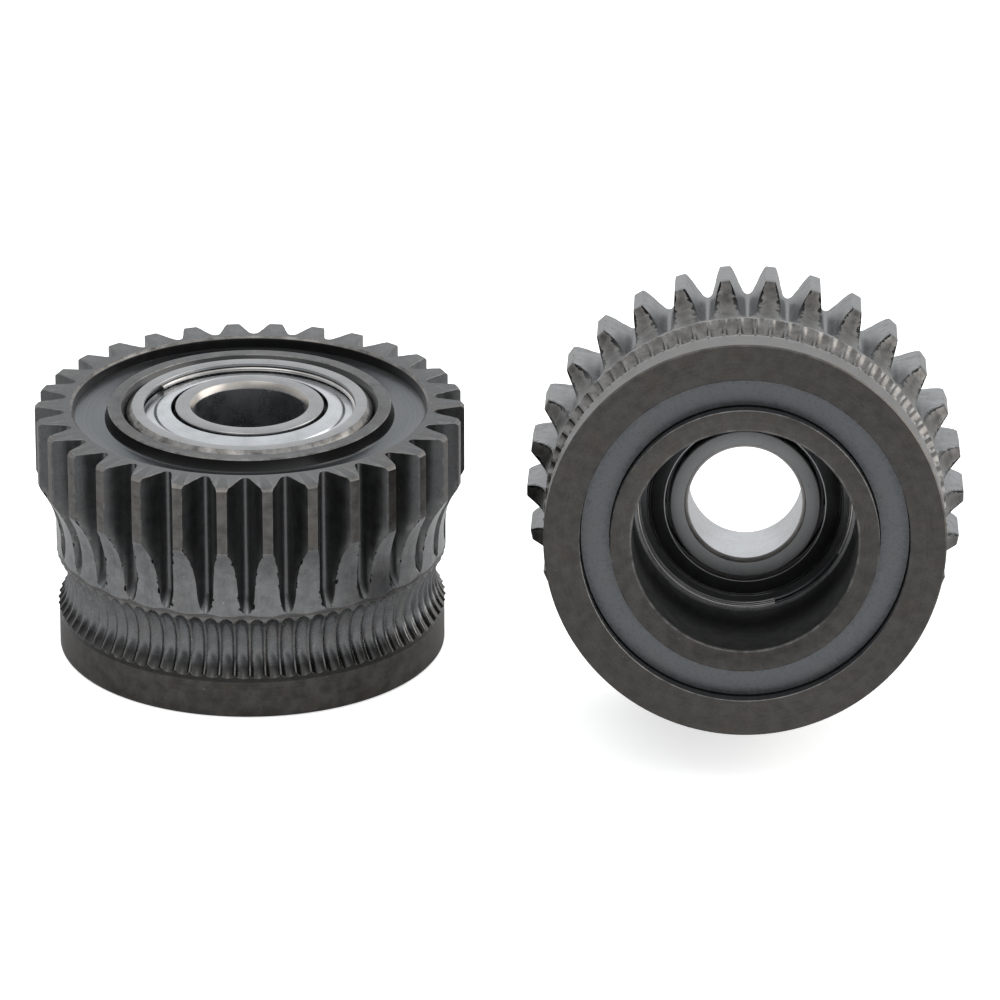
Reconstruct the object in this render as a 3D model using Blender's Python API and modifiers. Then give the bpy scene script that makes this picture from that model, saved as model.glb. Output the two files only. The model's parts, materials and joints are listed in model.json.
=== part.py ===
"""Extruder gear assembly: two hobbed spur gears, each turning on its own shielded ball bearing.

Each unit is modelled about its own axis, flange face at z = 0 and toothed end at z = HEIGHT.
The left unit stands on its flange. The right unit is tipped so that its flange face looks
forward and up, with the toothed end behind it.
"""

import math

import bmesh
import bpy
from mathutils import Matrix, Vector

MM = 0.001  # the design is in millimetres and the scene in metres
MERGE = 1e-7

# Gear body
HEIGHT = 11.4
TEETH = 30
MODULE = 0.6
PRESSURE_ANGLE = math.radians(20)
TIP_R = 9.6
ROOT_R = 8.28
ROOT_FILLET = 0.26
TIP_CHAMFER = 0.15  # broken edge of the tooth tips at the toothed end
TIP_END_Z = 8.3  # lower end of the full tooth tips
LAND_R = 8.75  # plain land between the teeth and the filament groove
SWEEP_FOOT_Z = 5.7  # where the hollow below the tips meets the land
SWEEP_R = 4.25
GAP_END_Z = 5.0  # where the tooth gaps run out in the land
GAP_RISE = 1.0  # length over which a gap's floor rises to the land
FLANGE_R = 8.68
EDGE = 0.08  # small broken edge
CUTTER_PAST = 0.4  # how far the tooth cutters reach outside the blank

# Filament groove
GROOVE_Z = 3.33
GROOVE_HALF = 1.29
GROOVE_NECK_R = 8.3
NOTCHES = 80
NOTCH_Z = 3.29
NOTCH_HALF = 1.5
NOTCH_FLOOR_R = 8.13
NOTCH_LIFT = 0.9  # how far a notch's V cutter reaches out from the floor
NOTCH_MOUTH = 2.97  # width of the V there

# Recesses and bores in the gear body
TOP_RECESS = (6.5, 8.0)  # inner and outer radius
TOP_RECESS_DEPTH = 0.58
TOP_RECESS_CHAMFER = 0.11
COLLAR_TOP_R = 6.3
SEAT_MOUTH_R = 5.75
SEAT_MOUTH_DEPTH = 0.4
SEAT_CLEARANCE = 0.03
FLANGE_RECESS = (5.8, 7.12)
FLANGE_RECESS_DEPTH = 0.85
THROUGH_R = 4.87

# Ball bearing, 5 x 11 x 5
BEARING_BORE_R = 2.5
BEARING_R = 5.5
BEARING_W = 5.0
OUTER_CHAMFER = 0.25
BORE_CHAMFER = (0.16, 0.3)  # inner ring: across and along the bore
INNER_CHAMFER = 0.06
BALL_R = 0.794
BALL_COUNT = 8
BALL_PITCH_R = 4.0
RACE_R = 0.86  # section radius of both ball tracks
INNER_FACE_R = 3.33
INNER_RIB_R = 3.46
OUTER_FACE_R = 4.72
OUTER_RIB_R = 4.5
RIB_HALF = 1.65  # half width of the ribs that hold the ball tracks
SNAP_GROOVE_R = 4.84
SNAP_GROOVE_Z = (2.12, 2.36)  # from the bearing's middle plane
SNAP_WIRE_R = 0.1
SNAP_R = 4.71
SNAP_Z = 2.23
SNAP_GAP = math.radians(44)
SNAP_GAPS_AT = {"top": math.radians(158), "bottom": math.radians(51)}
SHIELD_R = (3.5, 4.08, 4.18, 4.8)  # inner edge, step, foot of the step, rim
SHIELD_Z = (2.42, 2.1)  # top of the plateau and of the rim
SHIELD_SHEET = 0.14
CAGE_R = (3.62, 4.38)
CAGE_Z = (-1.08, 0.42)
POCKET_R = 0.84

# Where each unit's flange centre is, and how its axis lies
LEFT_PLACE = Vector((-11.023, 3.321, 0))
LEFT_TURN = math.radians(12.3)
RIGHT_PLACE = Vector((10.692, -11.529, 11.25))
RIGHT_TILT = math.radians(9)
RIGHT_YAW = math.radians(1.8)

# Facets
TURN_STEPS = 42
RING_STEPS = 24
WIRE_STEPS = 19
FILLET_STEPS = 2
ARC_STEPS = 3
TRACK_STEPS = 4
BALL_SEGMENTS = 8
BALL_RINGS = 6

parts = None
cutters = None


# ---------------------------------------------------------------- helpers


def clear_scene():
    for item in list(bpy.data.objects):
        bpy.data.objects.remove(item, do_unlink=True)


def new_collection(name):
    collection = bpy.data.collections.new(name)
    bpy.context.scene.collection.children.link(collection)
    return collection


def make_material(name, colour, roughness, metallic=1.0):
    material = bpy.data.materials.new(name)
    material.use_nodes = True
    shader = material.node_tree.nodes["Principled BSDF"]
    shader.inputs["Base Color"].default_value = (*colour, 1)
    shader.inputs["Roughness"].default_value = roughness
    shader.inputs["Metallic"].default_value = metallic
    return material


def add_object(name, mesh, collection, parent=None, material=None):
    item = bpy.data.objects.new(name, mesh)
    collection.objects.link(item)
    item.parent = parent
    if material:
        mesh.materials.append(material)
    return item


def as_cutter(item):
    item.hide_render = True
    item.display_type = "WIRE"


def arc(centre, radius, start, end, steps):
    """Points along an arc, from angle start to angle end in radians."""
    points = []
    for i in range(steps + 1):
        angle = start + (end - start) * i / steps
        points.append((centre[0] + radius * math.cos(angle), centre[1] + radius * math.sin(angle)))
    return points


def dish_arc(middle_z, half, edge_r, neck_r, steps):
    """A hollow arc in a turned profile, from its top edge through the neck to its lower edge."""
    depth = edge_r - neck_r
    radius = (half**2 + depth**2) / (2 * depth)
    span = math.asin(half / radius)
    return arc((neck_r + radius, middle_z), radius, math.pi - span, math.pi + span, steps)


def turned(name, profile, steps, collection, parent=None, material=None):
    """A solid of revolution from a closed (radius, height) profile that runs down its outer side."""
    mesh = bpy.data.meshes.new(name)
    points = [(r * MM, 0, z * MM) for r, z in profile]
    count = len(points)
    mesh.from_pydata(points, [(i, (i + 1) % count) for i in range(count)], [])
    item = add_object(name, mesh, collection, parent, material)
    screw = item.modifiers.new("turn", "SCREW")
    screw.axis = "Z"
    screw.steps = steps
    screw.render_steps = steps
    screw.use_merge_vertices = True
    screw.merge_threshold = MERGE
    screw.use_smooth_shade = True
    return item


def cut(item, cutter):
    boolean = item.modifiers.new("cut", "BOOLEAN")
    boolean.operation = "DIFFERENCE"
    boolean.solver = "EXACT"
    boolean.object = cutter


def loft_mesh(name, rings):
    """A closed solid through rings of equal length, capped at both ends."""
    shape = bmesh.new()
    made = [[shape.verts.new(Vector(point) * MM) for point in ring] for ring in rings]
    count = len(made[0])
    for low, high in zip(made, made[1:]):
        for i in range(count):
            j = (i + 1) % count
            shape.faces.new((low[i], low[j], high[j], high[i]))
    shape.faces.new(list(reversed(made[0])))
    shape.faces.new(made[-1])
    bmesh.ops.recalc_face_normals(shape, faces=shape.faces)
    mesh = bpy.data.meshes.new(name)
    shape.to_mesh(mesh)
    shape.free()
    return mesh


def copies_around(name, mesh, count, collection, parent, phase=0.0):
    """One cutter mesh that holds count copies of a mesh, evenly round the axis."""
    shape = bmesh.new()
    for k in range(count):
        turn = Matrix.Rotation(phase + 2 * math.pi * k / count, 4, "Z")
        before = len(shape.verts)
        shape.from_mesh(mesh)
        shape.verts.ensure_lookup_table()
        bmesh.ops.transform(shape, matrix=turn, verts=shape.verts[before:])
    joined = bpy.data.meshes.new(name)
    shape.to_mesh(joined)
    shape.free()
    item = add_object(name, joined, collection, parent)
    as_cutter(item)
    return item


# ---------------------------------------------------------------- gear body


def tooth_gap_outline():
    """One side of a tooth gap at +X, as (radius along the gap's middle, half width) points."""
    pitch_r = MODULE * TEETH / 2
    base_r = pitch_r * math.cos(PRESSURE_ANGLE)
    corner_r = ROOT_R + ROOT_FILLET

    def involute(angle):
        return math.tan(angle) - angle

    def half_width(radius):
        angle = math.acos(base_r / radius)
        half_gap = math.pi / (2 * TEETH) - involute(PRESSURE_ANGLE) + involute(angle)
        return radius * math.sin(half_gap)

    side = []
    for radius in (TIP_R + CUTTER_PAST, pitch_r, corner_r):
        across = half_width(radius)
        side.append((math.sqrt(radius**2 - across**2), across))
    flat = half_width(corner_r) - ROOT_FILLET
    side += arc((corner_r, flat), ROOT_FILLET, math.pi / 2, math.pi, FILLET_STEPS)[1:]
    return side


def tooth_gap_mesh():
    """Cutter for one tooth gap, whose floor rises out of the land at its lower end."""
    side = tooth_gap_outline()
    outline = [(x, y) for x, y in side] + [(x, -y) for x, y in reversed(side)]
    rise = LAND_R - ROOT_R
    rings = []
    for share in (1.1, 0.7, 0.0):
        shift = rise * share**2
        z = GAP_END_Z + GAP_RISE * (1 - share)
        rings.append([(x + shift, y, z) for x, y in outline])
    rings.append([(x, y, HEIGHT + 0.5) for x, y in outline])
    return loft_mesh("tooth_gap", rings)


def notch_mesh():
    """Cutter for one notch: a narrow curved bar whose floor dips to NOTCH_FLOOR_R."""
    path = dish_arc(NOTCH_Z, NOTCH_HALF, LAND_R, NOTCH_FLOOR_R, ARC_STEPS)
    depth = LAND_R - NOTCH_FLOOR_R
    radius = (NOTCH_HALF**2 + depth**2) / (2 * depth)
    centre = Vector((NOTCH_FLOOR_R + radius, 0, NOTCH_Z))
    across = Vector((0, NOTCH_MOUTH / 2, 0))
    rings = []
    for r, z in path:
        floor = Vector((r, 0, z))
        outside = floor + (centre - floor).normalized() * NOTCH_LIFT
        rings.append([floor, outside + across, outside - across])
    return loft_mesh("notch", rings)


def gear_profile():
    sweep_centre = (LAND_R + SWEEP_R, SWEEP_FOOT_Z)
    sweep_top = math.pi - math.asin((TIP_END_Z - SWEEP_FOOT_Z) / SWEEP_R)
    profile = [(TOP_RECESS[1], HEIGHT), (TIP_R - TIP_CHAMFER, HEIGHT), (TIP_R, HEIGHT - TIP_CHAMFER)]
    profile += arc(sweep_centre, SWEEP_R, sweep_top, math.pi, ARC_STEPS)
    profile += dish_arc(GROOVE_Z, GROOVE_HALF, LAND_R, GROOVE_NECK_R, ARC_STEPS)
    profile += [
        (FLANGE_R, EDGE),
        (FLANGE_R - EDGE, 0),
        (FLANGE_RECESS[1], 0),
        (FLANGE_RECESS[1], FLANGE_RECESS_DEPTH),
        (FLANGE_RECESS[0], FLANGE_RECESS_DEPTH),
        (FLANGE_RECESS[0], 0),
        (THROUGH_R + EDGE, 0),
        (THROUGH_R, EDGE),
        (THROUGH_R, HEIGHT - BEARING_W - SEAT_CLEARANCE),
        (BEARING_R + SEAT_CLEARANCE, HEIGHT - BEARING_W - SEAT_CLEARANCE),
        (BEARING_R + SEAT_CLEARANCE, HEIGHT - SEAT_MOUTH_DEPTH),
        (SEAT_MOUTH_R, HEIGHT),
        (COLLAR_TOP_R, HEIGHT),
        (TOP_RECESS[0], HEIGHT - TOP_RECESS_DEPTH),
        (TOP_RECESS[1] - TOP_RECESS_CHAMFER, HEIGHT - TOP_RECESS_DEPTH),
        (TOP_RECESS[1] - TOP_RECESS_CHAMFER, HEIGHT - TOP_RECESS_CHAMFER),
    ]
    return profile


def make_gear(side, parent, material):
    gear = turned(side + "_drive_gear", gear_profile(), TURN_STEPS, parts, parent, material)
    half_tooth = math.pi / TEETH
    gaps = copies_around(side + "_tooth_gaps", tooth_gap_mesh(), TEETH, cutters, parent, half_tooth)
    notches = copies_around(side + "_notches", notch_mesh(), NOTCHES, cutters, parent)
    cut(gear, gaps)
    cut(gear, notches)
    return gear


# ---------------------------------------------------------------- ball bearing


def track(rib_r, outer):
    """The ball track's arc in a race, in the order that keeps the profile running downwards outside."""
    half = math.acos(abs(rib_r - BALL_PITCH_R) / RACE_R)
    middle = 0.0 if outer else math.pi
    return arc((BALL_PITCH_R, 0), RACE_R, middle - half, middle + half, TRACK_STEPS)


def outer_ring_profile():
    half = BEARING_W / 2
    low, high = SNAP_GROOVE_Z
    profile = [
        (OUTER_FACE_R, half),
        (BEARING_R - OUTER_CHAMFER, half),
        (BEARING_R, half - OUTER_CHAMFER),
        (BEARING_R, OUTER_CHAMFER - half),
        (BEARING_R - OUTER_CHAMFER, -half),
        (OUTER_FACE_R, -half),
        (OUTER_FACE_R, -high),
        (SNAP_GROOVE_R, -high),
        (SNAP_GROOVE_R, -RIB_HALF),
        (OUTER_RIB_R, -RIB_HALF),
    ]
    profile += track(OUTER_RIB_R, True)
    profile += [
        (OUTER_RIB_R, RIB_HALF),
        (SNAP_GROOVE_R, RIB_HALF),
        (SNAP_GROOVE_R, high),
        (OUTER_FACE_R, high),
    ]
    return profile


def inner_ring_profile():
    half = BEARING_W / 2
    across, along = BORE_CHAMFER
    profile = [
        (BEARING_BORE_R + across, half),
        (INNER_FACE_R - INNER_CHAMFER, half),
        (INNER_FACE_R, half - INNER_CHAMFER),
        (INNER_FACE_R, RIB_HALF),
        (INNER_RIB_R, RIB_HALF),
    ]
    profile += track(INNER_RIB_R, False)
    profile += [
        (INNER_RIB_R, -RIB_HALF),
        (INNER_FACE_R, -RIB_HALF),
        (INNER_FACE_R, INNER_CHAMFER - half),
        (INNER_FACE_R - INNER_CHAMFER, -half),
        (BEARING_BORE_R + across, -half),
        (BEARING_BORE_R, along - half),
        (BEARING_BORE_R, half - along),
    ]
    return profile


def shield_profile(direction):
    """Pressed shield: a plateau near the face and a lower rim that the snap ring holds."""
    inner, step, foot, rim_r = SHIELD_R
    plateau, rim = SHIELD_Z
    outline = [
        (inner, plateau),
        (step + SHIELD_SHEET / 2, plateau),
        (foot + SHIELD_SHEET / 2, rim),
        (rim_r, rim),
        (rim_r, rim - SHIELD_SHEET),
        (foot, rim - SHIELD_SHEET),
        (step, plateau - SHIELD_SHEET),
        (inner, plateau - SHIELD_SHEET),
    ]
    if direction > 0:
        return outline
    return [(r, -z) for r, z in reversed(outline)]


def make_snap_ring(name, direction, gap_at, parent, material):
    """An open ring of round wire, sprung into the outer race's groove."""
    curve = bpy.data.curves.new(name, "CURVE")
    curve.dimensions = "3D"
    curve.bevel_depth = SNAP_WIRE_R * MM
    curve.bevel_resolution = 0
    curve.use_fill_caps = True
    spline = curve.splines.new("POLY")
    start = gap_at + SNAP_GAP / 2
    points = arc((0, 0), SNAP_R, start, start + 2 * math.pi - SNAP_GAP, WIRE_STEPS)
    spline.points.add(len(points) - 1)
    for point, (x, y) in zip(spline.points, points):
        point.co = (x * MM, y * MM, direction * SNAP_Z * MM, 1)
    source = bpy.data.objects.new(name + "_path", curve)
    parts.objects.link(source)
    source.parent = parent
    bpy.context.view_layer.update()
    graph = bpy.context.evaluated_depsgraph_get()
    mesh = bpy.data.meshes.new_from_object(source.evaluated_get(graph))
    shape = bmesh.new()
    shape.from_mesh(mesh)
    bmesh.ops.remove_doubles(shape, verts=shape.verts, dist=MERGE)
    bmesh.ops.recalc_face_normals(shape, faces=shape.faces)
    shape.to_mesh(mesh)
    shape.free()
    bpy.data.objects.remove(source, do_unlink=True)
    mesh.name = name
    mesh.materials.clear()
    return add_object(name, mesh, parts, parent, material)


def ball_mesh():
    shape = bmesh.new()
    bmesh.ops.create_uvsphere(shape, u_segments=BALL_SEGMENTS, v_segments=BALL_RINGS, radius=BALL_R * MM)
    mesh = bpy.data.meshes.new("ball")
    shape.to_mesh(mesh)
    shape.free()
    mesh.shade_smooth()
    return mesh


def pocket_mesh():
    shape = bmesh.new()
    place = Matrix.Translation(Vector((BALL_PITCH_R * MM, 0, 0)))
    bmesh.ops.create_uvsphere(
        shape, u_segments=BALL_SEGMENTS, v_segments=BALL_RINGS, radius=POCKET_R * MM, matrix=place
    )
    mesh = bpy.data.meshes.new("pocket")
    shape.to_mesh(mesh)
    shape.free()
    return mesh


def make_cage(name, parent, material):
    low, high = CAGE_Z
    inner, outer = CAGE_R
    profile = [(inner, high), (outer, high), (outer, low), (inner, low)]
    cage = turned(name, profile, RING_STEPS, parts, parent, material)
    pockets = copies_around(name + "_pockets", pocket_mesh(), BALL_COUNT, cutters, parent)
    cut(cage, pockets)
    return cage


def make_bearing(side, seat, looks):
    """Bearing about the origin of its seat empty, whose height is the bearing's middle plane."""
    turned(side + "_outer_ring", outer_ring_profile(), RING_STEPS, parts, seat, looks["ring"])
    turned(side + "_inner_ring", inner_ring_profile(), RING_STEPS, parts, seat, looks["ring"])
    for word, direction in (("top", 1), ("bottom", -1)):
        name = f"{side}_{word}_shield"
        turned(name, shield_profile(direction), RING_STEPS, parts, seat, looks["shield"])
        make_snap_ring(f"{side}_{word}_snap_ring", direction, SNAP_GAPS_AT[word], seat, looks["wire"])
    make_cage(side + "_ball_cage", seat, looks["cage"])
    shared = ball_mesh()
    shared.materials.append(looks["ball"])
    for k in range(BALL_COUNT):
        ball = add_object(f"{side}_ball_{k + 1}", shared, parts, seat)
        angle = 2 * math.pi * k / BALL_COUNT
        ball.location = (
            BALL_PITCH_R * MM * math.cos(angle),
            BALL_PITCH_R * MM * math.sin(angle),
            0,
        )


def make_unit(side, placement, looks):
    """One gear with its bearing, about an empty on the gear's axis."""
    axis = bpy.data.objects.new(side + "_axis", None)
    parts.objects.link(axis)
    axis.matrix_world = placement
    seat = bpy.data.objects.new(side + "_bearing_centre", None)
    parts.objects.link(seat)
    seat.parent = axis
    seat.location = (0, 0, (HEIGHT - BEARING_W / 2) * MM)
    bpy.context.view_layer.update()
    make_gear(side, axis, looks["gear"])
    make_bearing(side, seat, looks)


def left_placement():
    return Matrix.Translation(LEFT_PLACE * MM) @ Matrix.Rotation(LEFT_TURN, 4, "Z")


def right_placement():
    """Turns the unit's +Z, which runs from flange to teeth, to point back and slightly down."""
    lie_back = Matrix.Rotation(-math.pi / 2 - RIGHT_TILT, 4, "X")
    yaw = Matrix.Rotation(-RIGHT_YAW, 4, "Z")
    return Matrix.Translation(RIGHT_PLACE * MM) @ yaw @ lie_back


def main():
    global parts, cutters
    clear_scene()
    parts = new_collection("extruder_gear_assembly")
    cutters = new_collection("cutters")
    looks = {
        "gear": make_material("dark_steel", (0.115, 0.11, 0.105), 0.38),
        "ring": make_material("ground_steel", (0.58, 0.57, 0.55), 0.22),
        "shield": make_material("pressed_steel", (0.42, 0.43, 0.45), 0.3),
        "wire": make_material("spring_wire", (0.5, 0.5, 0.5), 0.3),
        "cage": make_material("cage_steel", (0.4, 0.38, 0.34), 0.4),
        "ball": make_material("ball_steel", (0.7, 0.7, 0.7), 0.08),
    }
    make_unit("left", left_placement(), looks)
    make_unit("right", right_placement(), looks)


main()
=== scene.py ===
import json
import math

import bmesh
import bpy
import numpy as np
from mathutils import Matrix, Vector


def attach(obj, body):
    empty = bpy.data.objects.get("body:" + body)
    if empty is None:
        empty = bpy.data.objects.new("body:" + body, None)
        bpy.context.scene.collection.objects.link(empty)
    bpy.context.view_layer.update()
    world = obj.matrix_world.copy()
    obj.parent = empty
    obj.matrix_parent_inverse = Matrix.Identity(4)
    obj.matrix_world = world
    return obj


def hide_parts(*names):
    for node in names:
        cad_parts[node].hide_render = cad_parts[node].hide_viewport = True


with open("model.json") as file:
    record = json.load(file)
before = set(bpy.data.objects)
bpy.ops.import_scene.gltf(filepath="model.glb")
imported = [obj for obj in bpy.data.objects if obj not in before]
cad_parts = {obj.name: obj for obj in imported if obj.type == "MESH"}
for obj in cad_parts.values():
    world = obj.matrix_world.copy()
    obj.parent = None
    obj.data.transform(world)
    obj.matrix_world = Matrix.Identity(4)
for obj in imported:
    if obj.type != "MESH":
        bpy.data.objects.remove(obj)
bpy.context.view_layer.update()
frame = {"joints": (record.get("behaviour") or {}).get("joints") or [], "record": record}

# The looks of a pair of extruder gears, each on its shielded ball bearing. Each unit's pieces are
# built about the unit's own axis, flange face at z = 0 and toothed end at z = HEIGHT, and then
# placed by the joint and the mount that the frame's record gives.

MM = 0.001
SIDES = ("left", "right")
WORDS = (("top", 1), ("bottom", -1))

# Gear body, in millimetres
HEIGHT = 11.4
TEETH = 30
MODULE = 0.6
PRESSURE_ANGLE = math.radians(20)
TIP_R = 9.6
ROOT_R = 8.28
ROOT_FILLET = 0.3
ROOT_PINCH, PINCH_TOP_R = 0.35, 8.8  # the gaps narrow below this radius, by this share at the root
TIP_CHAMFER = 0.15
TIP_END_Z = 8.3
LAND_R = 8.75
SWEEP_FOOT_Z = 5.7
SWEEP_R = 4.25
GAP_END_Z = 5.0
GAP_RISE = 1.0
FLANGE_R = 8.68
GROOVE_Z, GROOVE_HALF, GROOVE_NECK_R = 3.33, 1.29, 8.3
NOTCHES = 80
NOTCH_Z, NOTCH_HALF, NOTCH_FLOOR_R = 3.29, 1.5, 8.13
NOTCH_CUTTER_R = 0.335
RECESS_IN, RECESS_OUT, RECESS_DEPTH, RECESS_CHAMFER = 6.45, 8.0, 0.58, 0.11
COLLAR_TOP_R = 6.3
SEAT_MOUTH_R, SEAT_MOUTH_DEPTH = 5.75, 0.4
SEAT_R = 5.515
FLANGE_RECESS_IN, FLANGE_RECESS_OUT, FLANGE_RECESS_DEPTH = 5.8, 7.12, 0.85
THROUGH_R = 4.87
SEAT_SPARE = 0.02  # room behind the bearing
COLLAR_LEAN = 0.02  # the collar's outer wall leans out by this much
RECESS_ROUND, THROUGH_ROUND = 0.09, 0.1
ROUND_MIDDLE = 0.3  # how far in from both its ends a rounding's middle point lies, as a share
BREAK, EASE, FILLET = 0.02, 0.03, 0.05  # widths of the small broken, eased and filled edges
FLANGE_EDGE_IN, FLANGE_EDGE_UP = 0.07, 0.08  # the flange's rounded outer edge
FLANGE_BAND = 0.2  # width of the flange face's outermost band

# Bearing, in millimetres
BORE_R, BEARING_R, BEARING_W = 2.5, 5.5, 5.0
BALL_R, BALL_COUNT, BALL_PITCH_R, RACE_R = 0.794, 8, 4.0, 0.84
INNER_FACE_R, INNER_RIB_R, OUTER_FACE_R, OUTER_RIB_R = 3.33, 3.46, 4.72, 4.5
RIB_HALF = 1.65
SNAP_GROOVE_R, SNAP_GROOVE_HIGH = 4.84, 2.36  # it runs from the rib's side up to this height
SNAP_R, SNAP_WIRE, SNAP_Z = 4.71, 0.1, 2.23
SNAP_GAP = math.radians(44)
SNAP_GAPS_AT = {"top": math.radians(158), "bottom": math.radians(51)}
OUTER_CHAMFER, INNER_CHAMFER, BORE_CHAMFER = 0.25, 0.06, (0.16, 0.3)
FACE_EASE = (0.02, 0.03)  # the eased inner edge of the outer ring's faces, across and along
CAGE_IN, CAGE_OUT, CAGE_LOW, CAGE_HIGH = 3.62, 4.38, -1.08, 0.42
POCKET_R = 0.84
SHIELD_IN, SHIELD_BEND_R, SHIELD_RIM_R, SHIELD_OUT = 3.5, 4.16, 4.26, 4.79
SHIELD_TOP, SHIELD_RIM_Z, SHIELD_FALL, SHEET = 2.42, 2.1, 0.17, 0.14
SHEET_BEND = 0.08  # how far in the shield's hidden side bends before its visible side
OUTER_ROUND, INNER_ROUND, SHIELD_ROUND, CAGE_ROUND = 0.02, 0.03, 0.07, 0.04  # eased corners

# Facets
COLUMNS = 1200  # columns of the toothed and notched skin, shared evenly by teeth and notches
GAP_PERIOD, NOTCH_PERIOD = COLUMNS // TEETH, COLUMNS // NOTCHES
GAP_HALF_COLUMNS, ROOT_HALF_COLUMNS = 15, 4
NOTCH_HALF_COLUMNS = 6
LEAST_GAP, LEAST_NOTCH = math.radians(0.04), math.radians(0.03)  # half widths where a cut has ended
TIP_ROWS, SWEEP_ROWS, RUN_OUT_ROWS, NOTCH_ROWS = 6, 17, 14, 36
FIRST_TIP_ROW = 0.5  # below the end face
RUN_OUT_CROWDING, NOTCH_CROWDING = 1.4, 0.75  # how the rows crowd towards the ends of a cut
RIM_ROWS_Z = (NOTCH_Z - NOTCH_HALF - 0.1, 0.8, FLANGE_EDGE_UP)
FILLET_POINTS, FLANK_POINTS = 7, 16
FLANK_START, FLANK_SPARE = 0.06, 0.3  # the flank begins above the fillet and goes on past the tip
TURN_STEPS, RING_STEPS, CAGE_STEPS, TRACK_STEPS, WIRE_STEPS = 240, 192, 120, 14, 150
WIRE_SIDES = 12
BALL_FACETS, POCKET_FACETS = (40, 24), (32, 20)
SHARP = math.radians(28)
NEAR_STRAIGHT = math.radians(25)  # corners that turn less than this are not rounded
MOST_OF_SIDE = 0.45  # a rounded corner takes at most this share of each of its sides
LEAST_ROUND = 1e-4  # corners that could only be rounded by less than this stay sharp
CLOSE = 1e-7  # points nearer to each other than this, in metres, are merged

# Wear of the skin, 0 to 1
EDGE_WEAR = 0.7  # on an edge without burrs
BURR_COLUMNS = 4  # reach of the burrs each side of a swept edge, in columns
NOTCH_SEEN = 0.02  # depth from which a notch has worn edges

joints = {joint["name"]: joint for joint in frame["joints"]}
mounts = {mount["name"]: mount for mount in frame["record"]["mounts"]}


# ---------------------------------------------------------------- placing


def unit_matrix(side):
    """From a unit's own millimetre-sized frame, in metres, to the row frame."""
    spin = joints[side + "_gear_spin"]
    axis = Vector(spin["axis"]).normalized()
    centre = Vector(spin["pos_m"])
    across = Vector(mounts[side + "_shaft_seat_top"]["pos_m"]) - centre
    across = (across - axis * across.dot(axis)).normalized()
    turn = Matrix((across, axis.cross(across), axis)).transposed().to_4x4()
    drop = Matrix.Translation((0, 0, -(HEIGHT - BEARING_W / 2) * MM))
    return Matrix.Translation(centre) @ turn @ drop


UNITS = {side: unit_matrix(side) for side in SIDES}
MID_BEARING = Matrix.Translation((0, 0, (HEIGHT - BEARING_W / 2) * MM))


def ball_spot(k):
    """The middle of ball k, in metres from the middle of its bearing."""
    angle = 2 * math.pi * k / BALL_COUNT
    return Matrix.Translation(Vector((math.cos(angle), math.sin(angle), 0)) * BALL_PITCH_R * MM)


def place(name, mesh, matrix, body, node, slot):
    """An object in the row frame that stands for one CAD node."""
    item = bpy.data.objects.new(name, mesh)
    bpy.context.scene.collection.objects.link(item)
    item.matrix_world = matrix
    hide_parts(node)
    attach(item, body)


# ---------------------------------------------------------------- mesh helpers


def smooth(mesh):
    """Smooth shading, with sharp edges where faces meet at more than the angle SHARP."""
    mesh.shade_smooth()
    mesh.set_sharp_from_angle(angle=SHARP)


def arc(centre, radius, start, end, steps):
    """Points of an arc between two angles, both ends included."""
    angles = np.linspace(start, end, steps + 1)
    return [(centre[0] + radius * math.cos(a), centre[1] + radius * math.sin(a)) for a in angles]


def ring_grid(profile, steps):
    """Points of a profile turned about the axis: shape (profile points, steps, 3), in metres."""
    angles = np.arange(steps) * 2 * math.pi / steps
    points = np.array(profile, float)
    x = points[:, :1] * np.cos(angles)
    y = points[:, :1] * np.sin(angles)
    z = np.repeat(points[:, 1:], steps, axis=1)
    return np.stack([x, y, z], axis=2) * MM


def strip_faces(first, second, steps):
    """Quads between two rings of vertices that start at the given indices."""
    i = np.arange(steps)
    j = (i + 1) % steps
    return np.stack([first + i, first + j, second + j, second + i], axis=1).tolist()


def lathe(name, profile, steps, materials, choose=None):
    """A closed solid turned from a closed profile that runs down its outer side. choose gives the
    material index of a stretch of the profile from the radius and height of its middle."""
    points = ring_grid(profile, steps)
    faces = []
    slots = []
    count = len(profile)
    for k in range(count):
        after = (k + 1) % count
        faces += [face[::-1] for face in strip_faces(k * steps, after * steps, steps)]
        middle = [(here + there) / 2 for here, there in zip(profile[k], profile[after])]
        slots += [choose(*middle) if choose else 0] * steps
    mesh = bpy.data.meshes.new(name)
    mesh.from_pydata(points.reshape(-1, 3).tolist(), [], faces)
    for material in materials:
        mesh.materials.append(material)
    mesh.polygons.foreach_set("material_index", slots)
    smooth(mesh)
    return mesh


def rounded(profile, radius, steps):
    """The closed profile with each corner cut to a small arc, so that edges catch the light."""
    made = []
    count = len(profile)
    for k in range(count):
        before = Vector(profile[k - 1])
        here = Vector(profile[k])
        after = Vector(profile[(k + 1) % count])
        back = before - here
        on = after - here
        turn = back.angle(on, math.pi)
        reach = min(radius, back.length * MOST_OF_SIDE, on.length * MOST_OF_SIDE)
        if math.pi - turn < NEAR_STRAIGHT or reach < LEAST_ROUND:
            made.append(tuple(here))
            continue
        start = here + back.normalized() * reach
        end = here + on.normalized() * reach
        for i in range(steps + 1):
            t = i / steps
            made.append(tuple((1 - t) ** 2 * start + 2 * t * (1 - t) * here + t * t * end))
    return made


def finished_mesh(items, material):
    """The mesh of the first item with its modifiers applied, in one material. The items go."""
    scene_state = bpy.context.evaluated_depsgraph_get()
    mesh = bpy.data.meshes.new_from_object(items[0].evaluated_get(scene_state))
    for item in items:
        bpy.data.objects.remove(item, do_unlink=True)
    mesh.materials.clear()
    mesh.materials.append(material)
    return mesh


# ---------------------------------------------------------------- gear body


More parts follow.
